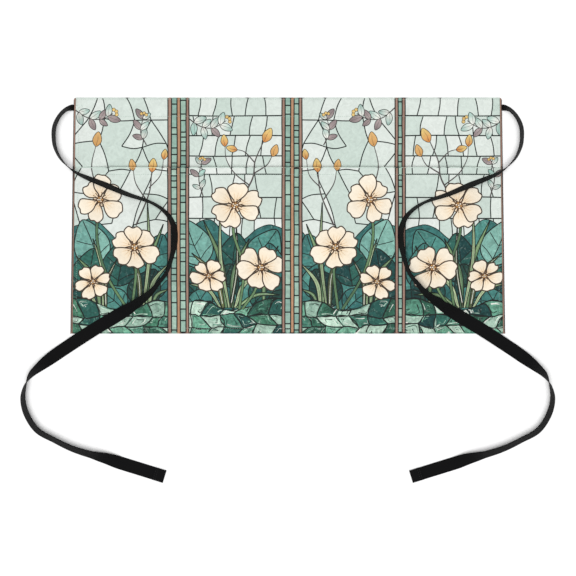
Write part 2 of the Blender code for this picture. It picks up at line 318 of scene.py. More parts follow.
# Ties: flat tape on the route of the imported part, a little rounder where it comes out. The tape is gathered
# to rootWidth where it is sewn in. Columns of the route: outwards from the side edge and up towards the
# waist, in metres, then the roll of the tape in degrees.
tape = {"width": 0.018, "thick": 0.0010, "tuck": 0.014, "endFold": 0.015, "climb": 0.025, "rootRun": 0.050,
        "rootWidth": 0.0085, "gather": 0.012, "rib": 0.0012, "ribHeight": 0.00008, "rootPoints": 40,
        "points": 230, "across": 4, "foldRows": 8, "curlRows": 6, "foldFit": 0.96}
tieRoute = (
    (-0.014, 0.000, 0), (-0.004, 0.000, 0), (-0.0009, 0.000, 0), (0.0010, 0.000, 14), (0.0034, -0.0003, 40),
    (0.0066, -0.0013, 62), (0.0108, -0.0034, 70), (0.0153, -0.0073, 70), (0.0202, -0.0134, 70),
    (0.0243, -0.0212, 69), (0.0266, -0.0290, 69), (0.0272, -0.0385, 70),
    (0.0258, -0.053, 73), (0.019, -0.069, 80), (0.0085, -0.081, 88), (-0.005, -0.091, 99),
    (-0.020, -0.098, 108), (-0.045, -0.108, 114), (-0.076, -0.121, 108), (-0.108, -0.132, 100),
    (-0.123, -0.141, 103), (-0.1345, -0.153, 107), (-0.1405, -0.168, 112), (-0.1412, -0.185, 114),
    (-0.1372, -0.207, 105), (-0.1295, -0.230, 101), (-0.1185, -0.244, 104), (-0.107, -0.2575, 113),
    (-0.083, -0.2755, 136), (-0.0625, -0.288, 170), (-0.0315, -0.3065, 180), (-0.001, -0.326, 180),
    (0.027, -0.345, 164), (0.0465, -0.360, 132), (0.0585, -0.371, 112), (0.0665, -0.386, 77),
    (0.0698, -0.403, 65), (0.0655, -0.424, 61), (0.0505, -0.4475, 61), (0.0265, -0.4615, 64),
    (0.0015, -0.4735, 61), (-0.025, -0.482, 56), (-0.048, -0.488, 28), (-0.066, -0.494, 0),
    (-0.095, -0.503, 0), (-0.1255, -0.5125, 0),
)
tieHeight = waistY - cloth["waistHem"] / 2


# Height of the uppermost cloth, ramped down to the table over the climb outside the edges
def clothTop(x, y):
    nominal = unflared(x, y)
    insideX = min(max(nominal, -sideX), sideX)
    insideY = min(max(y, bottomY), waistY)
    outside = math.hypot(nominal - insideX, y - insideY)
    onPocket = insideY <= mouthY + tape["width"] / 2
    under = pocketUnder(insideX, min(insideY, mouthY)) if onPocket else mainUnder(insideX, insideY)
    return (under + cloth["layer"]) * smoothStep(1 + tape["thick"] / tape["climb"] - outside / tape["climb"])


# Points of the smooth curve through the left tie's route: x, y, roll in radians and distance run
def tieCurve():
    edge = flared(sideX, tieHeight)
    places = [Vector((-edge - out, tieHeight + up)) for out, up, _ in tieRoute]
    knots, last = [0.0], len(places) - 1
    for a, b in zip(places, places[1:]):
        knots.append(knots[-1] + (b - a).length ** 0.5)
    slopes = []
    for i, here in enumerate(places):
        if i in (0, last):
            j = min(max(i, 1), last)
            slopes.append((places[j] - places[j - 1]) / (knots[j] - knots[j - 1]))
            continue
        before, after = knots[i] - knots[i - 1], knots[i + 1] - knots[i]
        pull = before ** 2 * places[i + 1] + (after ** 2 - before ** 2) * here - after ** 2 * places[i - 1]
        slopes.append(pull / (before * after * (before + after)))
    fine, parts = [], 60
    for i in range(last):
        width = knots[i + 1] - knots[i]
        for k in range(parts):
            u = k / parts
            spot = ((2 * u**3 - 3 * u**2 + 1) * places[i] + (u**3 - 2 * u**2 + u) * width * slopes[i]
                    + (3 * u**2 - 2 * u**3) * places[i + 1] + (u**3 - u**2) * width * slopes[i + 1])
            fine.append((spot, tieRoute[i][2] + (tieRoute[i + 1][2] - tieRoute[i][2]) * u))
    fine.append((places[-1], tieRoute[-1][2]))
    run = [0.0]
    for a, b in zip(fine, fine[1:]):
        run.append(run[-1] + (b[0] - a[0]).length)
    root, rest = tape["rootRun"], tape["points"]
    chosen = [root * i / tape["rootPoints"] for i in range(tape["rootPoints"])]
    chosen += [root + (run[-1] - root) * i / (rest - 1) for i in range(rest)]
    found, at = [], 0
    for want in chosen:
        while at < len(run) - 2 and run[at + 1] < want:
            at += 1
        share = (want - run[at]) / (run[at + 1] - run[at])
        (here, roll), (there, nextRoll) = fine[at], fine[at + 1]
        spot = here.lerp(there, share)
        found.append((spot.x, spot.y, math.radians(roll + (nextRoll - roll) * share), want))
    return found


def tapeWidth(run):
    spread = smoothStep((run - tape["tuck"]) / tape["gather"])
    return tape["rootWidth"] + (tape["width"] - tape["rootWidth"]) * spread


# The left tie's middle line: place, direction across the tape and distance run, resting on cloth and table
def tieMiddle():
    points = tieCurve()
    found, samples = [], 7
    for i, (x, y, roll, run) in enumerate(points):
        before, after = points[max(i - 1, 0)], points[min(i + 1, len(points) - 1)]
        heading = Vector((after[0] - before[0], after[1] - before[1])).normalized()
        across = Vector((-heading.y * math.cos(roll), heading.x * math.cos(roll), math.sin(roll)))
        flat, upright = abs(math.cos(roll)), abs(math.sin(roll))
        if run < tape["rootRun"]:
            z = (tape["thick"] * flat + tapeWidth(run) * upright + cloth["gap"]) / 2
        else:
            z = 0
            for k in range(samples):
                out = across * tape["width"] * (k / (samples - 1) - 0.5)
                rest = clothTop(x + out.x, y + out.y) + cloth["gap"] + tape["thick"] / 2 * flat
                z = max(z, rest - out.z)
        found.append((Vector((x, y, z)), across, run))
    return found


def addTie(name, side, finish, line):
    rows = len(line) - 1

    def place(s, t):
        spot, across, run = line[round(t * rows)]
        spot = spot + across * tapeWidth(run) * (s - 0.5)
        return Vector((-side * spot.x, spot.y, spot.z))

    def uvAt(s, t):
        return line[round(t * rows)][2], tape["width"] * (s - 0.5)

    piece = gridPiece(name, tape["across"], rows, place, finish, uvAt)
    addThickness(piece, tape["thick"])
    return piece


# The turned-back end: the tape curls round at its end and lies back on itself
def addTieEnd(name, side, finish, line):
    end, across, total = line[-1]
    back = (line[-3][0] - end).normalized()
    lift = tape["thick"] + cloth["gap"]
    flatRows, curlRows = tape["foldRows"], tape["curlRows"]
    path = [end + back * tape["endFold"] * (1 - i / flatRows) + Vector((0, 0, lift))
            for i in range(flatRows + 1)]
    for i in range(1, curlRows):
        turn = math.pi * i / curlRows
        rise = Vector((0, 0, lift / 2 * (1 + math.cos(turn))))
        path.append(end - back * (lift / 2 * math.sin(turn)) + rise)
    rows = len(path) - 1

    def place(s, t):
        spot = path[round(t * rows)] + across * tape["width"] * (s - 0.5)
        return Vector((-side * spot.x, spot.y, spot.z))

    def uvAt(s, t):
        return total - tape["endFold"] * t, tape["width"] * (s - 0.5)

    piece = gridPiece(name, tape["across"], rows, place, finish, uvAt)
    addThickness(piece, tape["thick"] * tape["foldFit"])
    return piece


tapeFinish = twillTape()
middle = tieMiddle()
for side, word in ((-1, "left"), (1, "right")):
    tie = addTie(word + "TieTape", side, tapeFinish, middle)
    end = addTieEnd(word + "TieEnd", side, tapeFinish, middle)
    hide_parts(word + "_tie")
    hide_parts(word + "_tie_end_fold")
    path = [Vector((-side * spot.x, spot.y, spot.z)) for spot, _, _ in middle[::3]]
    tuple(path[0])
    [tuple(p) for p in path]
print("ties made,", round(middle[-1][2], 3), "m each")


# Table and light: the shadows in the photo are faint and fall towards the waist edge
light = {"sun": 2.72, "turn": (-7, -2), "angle": 38, "sky": 0.28, "table": 6.0}


def addStage():
    shape = bmesh.new()
    bmesh.ops.create_grid(shape, x_segments=1, y_segments=1, size=light["table"] / 2)
    mesh = bpy.data.meshes.new("table")
    shape.to_mesh(mesh)
    shape.free()
    mesh.materials.append(paintedBoard())
    table = bpy.data.objects.new("table", mesh)
    scene.collection.objects.link(table)
    data = bpy.data.lights.new("softbox", "SUN")
    data.energy = light["sun"]
    data.angle = math.radians(light["angle"])
    lamp = bpy.data.objects.new("softbox", data)
    lamp.rotation_euler = (math.radians(-light["turn"][0]), math.radians(light["turn"][1]), 0)
    scene.collection.objects.link(lamp)
    world = bpy.data.worlds.new("studio")
    world.use_nodes = True
    background = world.node_tree.nodes["Background"]
    background.inputs["Color"].default_value = (1, 1, 1, 1)
    background.inputs["Strength"].default_value = light["sky"]
    scene.world = world
    scene.view_settings.view_transform = "Standard"


# The print, drawn as outlines in millimetres: x from the middle of the apron, y up from its bottom edge.
# Tones: colour at the heart, colour at the rim, how marbled it is and how much panes differ in depth. An
# outline without a heart takes one mix of the two colours for each of its panes.
tones = {
    "sky": ("#dadfda", "#c8d7ce", 0.13, 0.05),
    "ivory": ("#e6e6dd", "#dfe3da", 0.08, 0.03),
    "mist": ("#b2cac0", "#9cc0b5", 0.24, 0.10),
    "lightTeal": ("#7aa79b", "#5f978f", 0.46, 0.12),
    "midTeal": ("#4a8077", "#336b69", 0.62, 0.18),
    "deepTeal": ("#2b5b50", "#1b4545", 0.66, 0.22),
    "nightTeal": ("#223f37", "#17393a", 0.50, 0.20),
    "stone": ("#6b9d84", "#4e8774", 0.95, 0.24),
    "darkStone": ("#3c6b55", "#2b5749", 0.95, 0.24),
    "paleStone": ("#b1c9b8", "#98b9a7", 0.70, 0.12),
    "blade": ("#66845b", "#527355", 0.38, 0.15),
    "paleBlade": ("#aab892", "#96aa84", 0.30, 0.12),
    "olive": ("#5e6541", "#4e5a3f", 0.40, 0.12),
    "petal": ("#edd8b9", "#f1e7d5", 0.10, 0.035),
    "bud": ("#c9844a", "#dfc27b", 0.22, 0.06),
    "gold": ("#cb985b", "#d7ac70", 0.15, 0.05),
    "heart": ("#6b482b", "#5a3e28", 0.10, 0.0),
    "wing": ("#e4e4dc", "#9dbab1", 0.22, 0.12),
    "plum": ("#a89a98", "#8a7c7d", 0.25, 0.10),
    "copper": ("#a08071", "#947669", 0.18, 0.06),
    "amber": ("#bd9374", "#b48a6b", 0.18, 0.06),
    "tile": ("#9fb9a9", "#88ac9f", 0.26, 0.10),
    "lead": ("#1b211f", "#1b211f", 0.05, 0.0),
    "brownLine": ("#43372d", "#43372d", 0.05, 0.0),
    "twig": ("#4f4948", "#4f4948", 0.20, 0.0),
}
# Sizes of the print, how far it runs past the edges and down behind the pocket, the cells of the mesh under
# it and how near to each other two of its points may be. Panels are given by their edges, and borders by
# their columns.
picture = {"mouth": cloth["pocketDepth"] * 1000, "top": cloth["height"] * 1000, "halfWidth": 301.0,
           "bleed": 8, "behind": 16, "cell": 11.0, "merge": 0.004}
panelEdges = ((-301.0, -166.5), (-137.3, -8.0), (19.8, 149.1), (163.0, 301.0))
borderColumns = (
    ((-166.5, -161.6, "copper"), (-161.6, -153.9, "tile"), (-153.9, -149.1, "amber"),
     (-149.1, -141.4, "tile"), (-141.4, -137.3, "copper")),
    ((-8.0, -3.8, "copper"), (-3.8, 3.8, "tile"), (3.8, 8.7, "amber"), (8.7, 15.6, "tile"),
     (15.6, 19.8, "copper")),
    ((149.1, 153.3, "copper"), (153.3, 158.8, "tile"), (158.8, 163.0, "copper")),
)


def curveThrough(knots, parts=6, closed=False):
    points = [Vector(knot) for knot in knots]
    count = len(points)
    found = []
    for i in range(count if closed else count - 1):
        a = points[i - 1] if closed or i else points[0] * 2 - points[1]
        b, c = points[i], points[(i + 1) % count]
        d = points[(i + 2) % count] if closed or i + 2 < count else points[-1] * 2 - points[-2]
        bend, twist = a * 2 - b * 5 + c * 4 - d, b * 3 - a - c * 3 + d
        for t in (k / parts for k in range(parts)):
            found.append((b * 2 + (c - a) * t + bend * t**2 + twist * t**3) / 2)
    return found if closed else found + [points[-1]]


def turned(points, middle, degrees, scale=(1.0, 1.0)):
    c, s = math.cos(math.radians(degrees)), math.sin(math.radians(degrees))
    return [(middle[0] + x * scale[0] * c - y * scale[1] * s, middle[1] + x * scale[0] * s + y * scale[1] * c)
            for x, y in points]


def ringOf(middle, radius, angles):
    return [(middle[0] + radius * math.cos(a), middle[1] + radius * math.sin(a)) for a in angles]


def fill(drawing, outline, tone, heart=None, reach=1.0):
    drawing.append(([Vector(point) for point in outline], tone, heart, reach))


# A line as a chain of quads that share their corners, so that it has no gaps where it turns
def stroke(drawing, line, width, tone="lead", closed=False, taper=0.0):
    line = [Vector(point) for point in line]
    count = len(line)
    sides = []
    for i, point in enumerate(line):
        before = line[i - 1] if closed or i else point
        after = line[(i + 1) % count] if closed or i < count - 1 else point
        along = (after - before).normalized() if (after - before).length else Vector((1, 0))
        share = i / (count - 1)
        half = width / 2 * (1 - taper * share)
        aside = Vector((-along.y, along.x)) * half
        sides.append((point + aside, point - aside))
    for i in range(count if closed else count - 1):
        a, b = sides[i], sides[(i + 1) % count]
        fill(drawing, (a[1], b[1], b[0], a[0]), tone)


def outlined(drawing, outline, tone, width=1.0, line="lead", heart=None, reach=1.0):
    fill(drawing, outline, tone, heart, reach)
    stroke(drawing, outline, width, line, closed=True)


# A wide-open flower: six broad petals that narrow to a brown heart, with the glass behind in the gaps.
# Sizes are shares of its radius.
flower = {"petals": 6, "throat": 0.30, "outline": 1.7, "veins": (-0.5, -0.1, 0.34), "stamens": 13,
          "anther": 0.024, "eye": 0.155, "beads": 6, "bead": 0.034, "beadRing": 0.085}


def blossom(drawing, middle, radius, turn, seed, squash=1.0, lean=0.0):
    dice = random.Random(seed)
    whole = (radius, radius)

    def seen(points, angle, scale):
        flat = [(x, y * squash) for x, y in turned(points, (0, 0), angle, scale)]
        return turned(flat, middle, lean)

    laid = []
    for i in range(flower["petals"]):
        angle = turn + 360 / flower["petals"] * i + dice.uniform(-7, 7)
        long, wide = radius * dice.uniform(0.86, 1.08), radius * dice.uniform(0.30, 0.40)
        notch, skew = dice.uniform(0.90, 0.99), dice.uniform(-0.14, 0.14)
        shape = ((0.06, 0.0), (0.22, 0.22), (0.46, 0.72), (0.74, 1.0 + skew), (0.96, 0.52),
                 (notch, skew * 0.5), (0.99, -0.50), (0.76, -1.0 + skew), (0.46, -0.74), (0.22, -0.22))
        laid.append((angle, long, wide, shape))
    throat = ringOf((0, 0), flower["throat"], [k * math.tau / 16 for k in range(16)])
    outlined(drawing, seen(throat, 0, whole), "petal", 1.2, "brownLine", middle, radius)
    for angle, long, wide, shape in laid[::2] + laid[1::2]:
        petal = curveThrough(seen(shape, angle, (long, wide)), 5, closed=True)
        outlined(drawing, petal, "petal", flower["outline"], "brownLine", middle, radius)
        for side in flower["veins"]:
            vein = seen(((0.26, side * 0.3), (0.42, side * 0.7), (0.58, side)), angle, (long, wide))
            stroke(drawing, curveThrough(vein, 3), 0.5, "gold", taper=0.7)
    for i in range(flower["stamens"]):
        angle, far = 360 / flower["stamens"] * i + dice.uniform(-8, 8), dice.uniform(0.23, 0.32)
        stroke(drawing, seen(((0.08, 0.0), (far, 0.0)), angle, whole), 0.8, "heart")
        tip = ringOf((far, 0.0), flower["anther"], (0, 1.3, 2.5, 3.8, 5.0))
        fill(drawing, seen(tip, angle, whole), "heart")
    rim = [(flower["eye"] * math.cos(a) * w, flower["eye"] * math.sin(a) * w)
           for a, w in ((k * math.tau / 18, 1.16 if k % 2 else 0.9) for k in range(18))]
    fill(drawing, seen(rim, 0, whole), "heart")
    for k in range(flower["beads"] + 1):
        a, r = k * math.tau / flower["beads"], 0.0 if k == flower["beads"] else flower["beadRing"]
        bead = ringOf((r * math.cos(a), r * math.sin(a)), flower["bead"], (0, 1, 2.1, 3.1, 4.2, 5.2))
        fill(drawing, seen(bead, 0, whole), "gold" if k % 2 else "petal")


def bud(drawing, foot, size, turn, tone="bud"):
    shape = ((0.0, 0.0), (0.35, 0.3), (0.75, 0.24), (1.05, 0.0), (0.75, -0.24), (0.35, -0.3))
    ring = curveThrough(turned(shape, foot, turn, (size, size)), 4, closed=True)
    outlined(drawing, ring, tone, 0.9, "brownLine", foot, size)
    crease = turned(((0.1, 0.0), (0.5, 0.05), (0.85, 0.0)), foot, turn, (size, size))
    stroke(drawing, crease, 0.6, "brownLine", taper=0.6)


# A spray of small paired leaves along a twig, in pale greys and greens, with berries at its tip
def sprig(drawing, knots, size, seed):
    dice = random.Random(seed)
    line = curveThrough(knots, 6)
    stroke(drawing, line, 1.7, "twig", taper=0.4)
    for i in range(3, len(line) - 1, 4):
        along = (line[i + 1] - line[i - 1]).normalized()
        heading = math.degrees(math.atan2(along.y, along.x))
        for hand in (-1, 1):
            tone = dice.choice(("wing", "wing", "mist", "plum"))
            shape = ((0.0, 0.0), (0.3, 0.26), (0.7, 0.24), (1.0, 0.0), (0.68, -0.2), (0.3, -0.22))
            long = size * dice.uniform(0.8, 1.15)
            ring = turned(shape, line[i], heading + hand * dice.uniform(38, 62), (long, long))
            outlined(drawing, curveThrough(ring, 3, closed=True), tone, 0.9, "lead", line[i], long)
            rib = turned(((0.05, 0.0), (0.9, 0.0)), line[i], heading + hand * 50, (long, long))
            stroke(drawing, rib, 0.5, "twig", taper=0.5)
    for lean in (-50, 0, 50):
        a = math.radians(lean) + math.atan2(*(line[-1] - line[-3]).yx)
        spot = line[-1] + Vector((math.cos(a), math.sin(a))) * size * 0.3
        berry = ringOf(spot, size * 0.15, (0, 0.9, 1.8, 2.7, 3.6, 4.5, 5.4))
        outlined(drawing, berry, "bud", 0.7, "brownLine", tuple(spot), size * 0.15)


# A broad leaf with a middle rib and two pairs of side veins, which part it into panes
def leaf(drawing, foot, long, wide, turn, tone):
    def laid(points):
        return turned(points, foot, turn, (long, wide))

    shape = ((0.0, 0.0), (0.16, 0.40), (0.45, 0.50), (0.78, 0.30), (1.0, 0.0), (0.78, -0.30), (0.45, -0.50),
             (0.16, -0.40))
    outlined(drawing, curveThrough(laid(shape), 5, closed=True), tone, 1.6)
    stroke(drawing, curveThrough(laid(((0.0, 0.0), (0.5, 0.04), (0.97, 0.0))), 5), 1.3)
    for i in range(2):
        start = 0.12 + 0.31 * i
        for hand in (-1, 1):
            vein = ((start, 0.02), (start + 0.12, 0.22 * hand), (start + 0.2, (0.46 - 0.10 * i) * hand))
            stroke(drawing, curveThrough(laid(vein), 3), 1.15)


# A long leaf of grass from foot to tip, bending sideways on its way
ribTones = {"olive": "ivory", "blade": "paleBlade", "paleBlade": "blade"}


def blade(drawing, foot, tip, bend, wide, tone):
    foot, tip = Vector(foot), Vector(tip)
    way = tip - foot
    aside = Vector((-way.y, way.x)).normalized()
    spine = curveThrough((foot, foot.lerp(tip, 0.5) + aside * bend, tip), 8)
    left, right = [], []
    for i, point in enumerate(spine):
        share = i / (len(spine) - 1)
        half = wide / 2 * math.sin(math.pi * (0.16 + 0.84 * share)) ** 0.8
        along = (spine[min(i + 1, len(spine) - 1)] - spine[max(i - 1, 0)]).normalized()
        out = Vector((-along.y, along.x)) * max(half, 0.2)
        left.append(point + out)
        right.append(point - out)
    outlined(drawing, right + left[::-1], tone, 1.3)
    stroke(drawing, spine[1:-2], 0.8, ribTones[tone], taper=0.7)


def stem(drawing, knots, width):
    line = curveThrough(knots, 7)
    stroke(drawing, line, width + 1.7, "lead")
    stroke(drawing, line, width, "blade")


def twig(drawing, knots, width):
    stroke(drawing, curveThrough(knots, 7), width, "twig", taper=0.5)


# Sky: rows of panes between level leads, with leaning leads across each row
def skyRows(drawing, dice, width, levels):
    for level in levels[1:-1]:
        line = [(-4, level), (width * 0.3, level + dice.uniform(-1, 1)),
                (width * 0.7, level + dice.uniform(-1, 1)), (width + 4, level)]
        stroke(drawing, curveThrough(line, 5), 1.7)
    for low, high in zip(levels, levels[1:]):
        x = dice.uniform(10, 24)
        while x < width - 8:
            lean = dice.uniform(-7, 7)
            mid = (x + lean / 2 + dice.uniform(-2, 2), (low + high) / 2)
            stroke(drawing, curveThrough(((x, low), mid, (x + lean, high)), 4), 1.5)
            x += dice.uniform(17, 34)


# Sky: panes like river pebbles, drawn as chains of leads between jittered meeting points
def skyNet(drawing, dice, width, levels):
    low, high = levels
    columns, rows = 4, 6
    spot = {}
    for i in range(-1, columns + 2):
        for j in range(rows + 1):
            x = width * (i + (0.5 if j % 2 else 0)) / columns + dice.uniform(-7, 7)
            y = low + (high - low) * j / rows + dice.uniform(-6, 6)
            spot[i, j] = (x, high + 4 if j == rows else y)
    for (i, j), here in spot.items():
        targets = [(i + 1, j)] if dice.random() < 0.72 else []
        targets += [(i + (0 if dice.random() < 0.5 else (1 if j % 2 else -1)), j + 1)]
        for there in (spot[target] for target in targets if target in spot):
            bow = ((here[0] + there[0]) / 2 + dice.uniform(-3, 3),
                   (here[1] + there[1]) / 2 + dice.uniform(-3, 3))
            stroke(drawing, curveThrough((here, bow, there), 4), 1.55)


# Bank of marbled slabs along the bottom: irregular pieces fitted together between thick leads
slab = {"columns": 6, "levels": (-6, 11, 24, 60), "veins": 6,
        "tones": ("stone", "stone", "darkStone", "paleStone", "paleStone", "deepTeal"),
        "veinTones": ("lead", "paleStone", "darkStone", "ivory", "nightTeal", "stone")}


def stones(drawing, dice, width):
    shore = curveThrough([(-6, 38), (width * 0.12, 47), (width * 0.3, 36), (width * 0.5, 33),
                          (width * 0.72, 40), (width * 0.9, 50), (width + 6, 44)], 5)
    outlined(drawing, shore + [Vector((width + 6, -8)), Vector((-6, -8))], "stone", 1.6)
    columns, spot = slab["columns"], {}
    for j, level in enumerate(slab["levels"]):
        for i in range(-1, columns + 2):
            x = width * (i + (0.5 if j % 2 else 0)) / columns + dice.uniform(-6, 6)
            spot[i, j] = (x, level + (dice.uniform(-4, 4) if 0 < j < 3 else 0))

    def under(x):
        return max((p.y for p in shore if abs(p.x - x) < 8), default=40) - 1.5

    for j in range(3):
        for i in range(-1, columns + 1):
            corners = [spot[i, j], spot[i + 1, j], spot[i + 1, j + 1], spot[i, j + 1]]
            ring = []
            for p, q in zip(corners, corners[1:] + corners[:1]):
                bow = ((p[0] + q[0]) / 2 + dice.uniform(-2.5, 2.5), (p[1] + q[1]) / 2 + dice.uniform(-2, 2))
                ring += [p, bow]
            ring = [(x, min(y, under(x))) for x, y in ring]
            outlined(drawing, curveThrough(ring, 3, closed=True), dice.choice(slab["tones"]), 1.8)
            middle = sum((Vector(p) for p in ring), Vector((0, 0))) / 8
            for _ in range(slab["veins"]):
                share, first = dice.uniform(0.25, 0.86), dice.randrange(8)
                arc = [middle + (Vector(p) - middle) * share * (1 + 0.12 * k)
                       for k, p in enumerate((ring * 2)[first:first + 3])]
                arc = [(p.x, min(p.y, under(p.x))) for p in arc]
                stroke(drawing, curveThrough(arc, 4), dice.uniform(0.6, 1.7), dice.choice(slab["veinTones"]),
                       taper=0.8)


# One panel, from back to front. Rows of arguments: leaves have foot, length, width, turn and tone, blades
# have foot, tip, bend, width and tone, stems and twigs have knots and width, buds have foot, size, turn and
# tone, sprigs have knots, size and seed, and blossoms have middle, radius, turn, seed, squash and lean.
def drawPanel(width, seed, sky, levels, crown, leaves, blades, stems, twigs, buds, sprigs, blossoms):
    drawing, dice = [], random.Random(seed)
    past, top = picture["bleed"], picture["top"] + picture["bleed"]
    fill(drawing, ((-past, -past), (width + past, -past), (width + past, top), (-past, top)), "sky")
    sky(drawing, dice, width, levels)
    bank = curveThrough([(-14, 30), *crown, (width + 14, 30)], 6) + [Vector((width / 2, 10))]
    outlined(drawing, bank, "midTeal", 1.2)
    for draw, rows in ((leaf, leaves), (blade, blades), (stones, [(dice, width)]), (stem, stems),
                       (twig, twigs), (bud, buds), (sprig, sprigs), (blossom, blossoms)):
        for row in rows:
            draw(drawing, *row)
    return drawing


def panelOne(width):
    return drawPanel(
        width, 11, skyRows, (120, 160, 189, 221, 247, 275, 303, 334),
        crown=((-10, 120), (8, 150), (30, 158), (52, 138), (74, 130), (96, 146), (118, 150),
               (width + 10, 128)),
        leaves=(
            ((20, 96), 66, 46, 112, "lightTeal"), ((92, 92), 60, 48, 60, "midTeal"),
            ((60, 70), 70, 52, 84, "deepTeal"), ((14, 52), 58, 44, 128, "deepTeal"),
            ((118, 60), 66, 44, 96, "midTeal"), ((40, 44), 56, 44, 70, "nightTeal"),
            ((88, 40), 54, 46, 40, "deepTeal"), ((62, 34), 50, 40, 140, "midTeal"),
            ((112, 34), 44, 36, 30, "nightTeal"), ((8, 30), 40, 34, 60, "midTeal")),
        blades=(
            ((52, 36), (20, 158), -9, 7, "blade"), ((56, 36), (44, 176), 6, 5, "paleBlade"),
            ((60, 36), (84, 132), 9, 7, "blade"), ((48, 36), (4, 112), -12, 7, "olive"),
            ((64, 36), (112, 84), 14, 6, "paleBlade"), ((104, 36), (124, 122), 8, 6, "blade"),
            ((44, 36), (-2, 70), -10, 5, "paleBlade"), ((66, 36), (126, 54), 9, 5, "blade"),
            ((58, 36), (66, 150), -5, 4, "olive")),
        stems=((((70, 34), (76, 90), (62, 140), (66, 168)), 2.8), (((74, 34), (92, 60), (98, 84)), 2.6)),
        twigs=((((66, 176), (88, 214), (92, 240), (104, 268)), 2.6),
               (((90, 222), (108, 234), (116, 248)), 2.0), (((91, 238), (78, 252), (66, 256)), 1.8),
               (((84, 206), (64, 222), (52, 242), (50, 262)), 1.8)),
        buds=(((104, 266), 21, 62), ((116, 246), 17, 70, "gold"), ((67, 255), 15, 165), ((50, 260), 16, 96)),
        sprigs=((((-2, 300), (16, 288), (34, 286), (52, 296)), 17, 5),
                (((20, 190), (14, 214), (18, 240)), 14, 6)),
        blossoms=(((100, 92), 34, 12, 3), ((28, 80), 27, 30, 4, 0.8, -20), ((64, 178), 38, 8, 12, 0.88, 15)))


def panelTwo(width):
    return drawPanel(
        width, 23, skyNet, (120, 334),
        crown=((-10, 140), (12, 128), (34, 112), (58, 118), (82, 142), (104, 160), (122, 152),
               (width + 10, 132)),
        leaves=(
            ((96, 96), 66, 50, 70, "lightTeal"), ((28, 84), 58, 44, 112, "midTeal"),
            ((70, 66), 62, 50, 96, "deepTeal"), ((118, 56), 64, 46, 104, "deepTeal"),
            ((12, 50), 56, 44, 66, "midTeal"), ((88, 38), 60, 48, 64, "nightTeal"),
            ((44, 38), 58, 46, 118, "nightTeal"), ((60, 32), 46, 40, 40, "midTeal"),
            ((114, 30), 42, 36, 80, "deepTeal")),
        blades=(
            ((30, 36), (6, 152), -8, 7, "blade"), ((34, 36), (28, 182), 5, 5, "paleBlade"),
            ((38, 36), (60, 124), 8, 7, "olive"), ((26, 36), (-2, 98), -9, 6, "paleBlade"),
            ((94, 36), (128, 108), 11, 7, "blade"), ((90, 36), (104, 132), 7, 5, "paleBlade"),
            ((22, 36), (-2, 62), -7, 5, "blade"), ((98, 36), (134, 66), 9, 5, "paleBlade"),
            ((86, 36), (70, 104), -7, 5, "olive")),
        stems=((((50, 34), (44, 84), (48, 112)), 3.0), (((56, 34), (84, 80), (98, 130), (96, 180)), 2.8)),
        twigs=((((44, 150), (26, 194), (22, 226)), 2.4), (((30, 186), (44, 208), (48, 228)), 1.9),
               (((26, 202), (10, 220), (6, 244)), 1.7), (((98, 200), (106, 232), (100, 262)), 2.0)),
        buds=(((22, 224), 19, 96), ((48, 226), 16, 80, "gold"), ((6, 242), 14, 100),
              ((100, 260), 20, 100, "gold")),
        sprigs=((((width + 2, 316), (112, 300), (92, 298), (76, 306)), 17, 8),
                (((30, 262), (38, 280), (34, 302)), 15, 9)),
        blossoms=(((46, 120), 36, 4, 7, 0.92, 25), ((104, 72), 28, 20, 9, 0.82, -30),
                  ((94, 186), 33, 40, 15)))


# Moves a panel's drawing to its place and keeps it between the borders
def placed(drawing, left, right, mirrored):
    found = []
    for outline, tone, heart, reach in drawing:
        moved = []
        for point in outline + ([Vector(heart)] if heart else []):
            x = right - point[0] if mirrored else left + point[0]
            moved.append(Vector((x, point[1])))
        heart = moved.pop() if heart else None
        for point in moved:
            point.x = min(max(point.x, left - 2.5), right + 2.5)
        found.append((moved, tone, heart, reach))
    return found


# Upright border: bars of copper and amber on both sides of columns of tiles
def border(drawing, dice, columns):
    low, high = -6, picture["top"] + 6
    for left, right, tone in columns:
        fill(drawing, ((left, low), (right, low), (right, high), (left, high)), tone)
        if tone == "tile":
            y = dice.uniform(0, 8)
            while y < high:
                middle = ((left + right) / 2, y + dice.uniform(-0.3, 0.3))
                stroke(drawing, ((left, y), middle, (right, y)), 1.8)
                y += dice.choice((7, 9, 12, 14, 16, 19))
    for x in [columns[0][0]] + [column[1] for column in columns]:
        line = [(x + dice.uniform(-0.25, 0.25), low + (high - low) * i / 16) for i in range(17)]
        stroke(drawing, line, 1.6)


# The whole print, with a thin copper strip along each side edge
def apronPrint():
    drawing, dice = [], random.Random(5)
    panels = (panelTwo, panelOne, panelTwo, panelOne)
    for (left, right), panel, mirrored in zip(panelEdges, panels, (True, False, False, True)):
        drawing += placed(panel(right - left), left, right, mirrored)
    for columns in borderColumns:
        border(drawing, dice, columns)
    strip, top = 2.9, picture["top"] + 1
    for side in (-1, 1):
        low, high = side * cloth["bottomWidth"] * 500, side * cloth["topWidth"] * 500
        inner = ((high - side * strip, top), (low - side * strip, -1))
        fill(drawing, ((low + side, -1), (high + side, top), *inner), "copper")
        stroke(drawing, ((low - side * 3.0, -1), (high - side * 3.0, top)), 0.5, "brownLine")
    return drawing


# Which of the spots lie inside a closed outline, by counting the crossings of a level line through each
def insideOf(ring, x, y):
    found = np.zeros(len(x), dtype=bool)
    for a, b in zip(ring, ring[1:] + ring[:1]):
        if a.y != b.y:
            crossed = (a.y > y) != (b.y > y)
            found ^= crossed & (x < (b.x - a.x) * (y - a.y) / (b.y - a.y) + a.x)
    return found


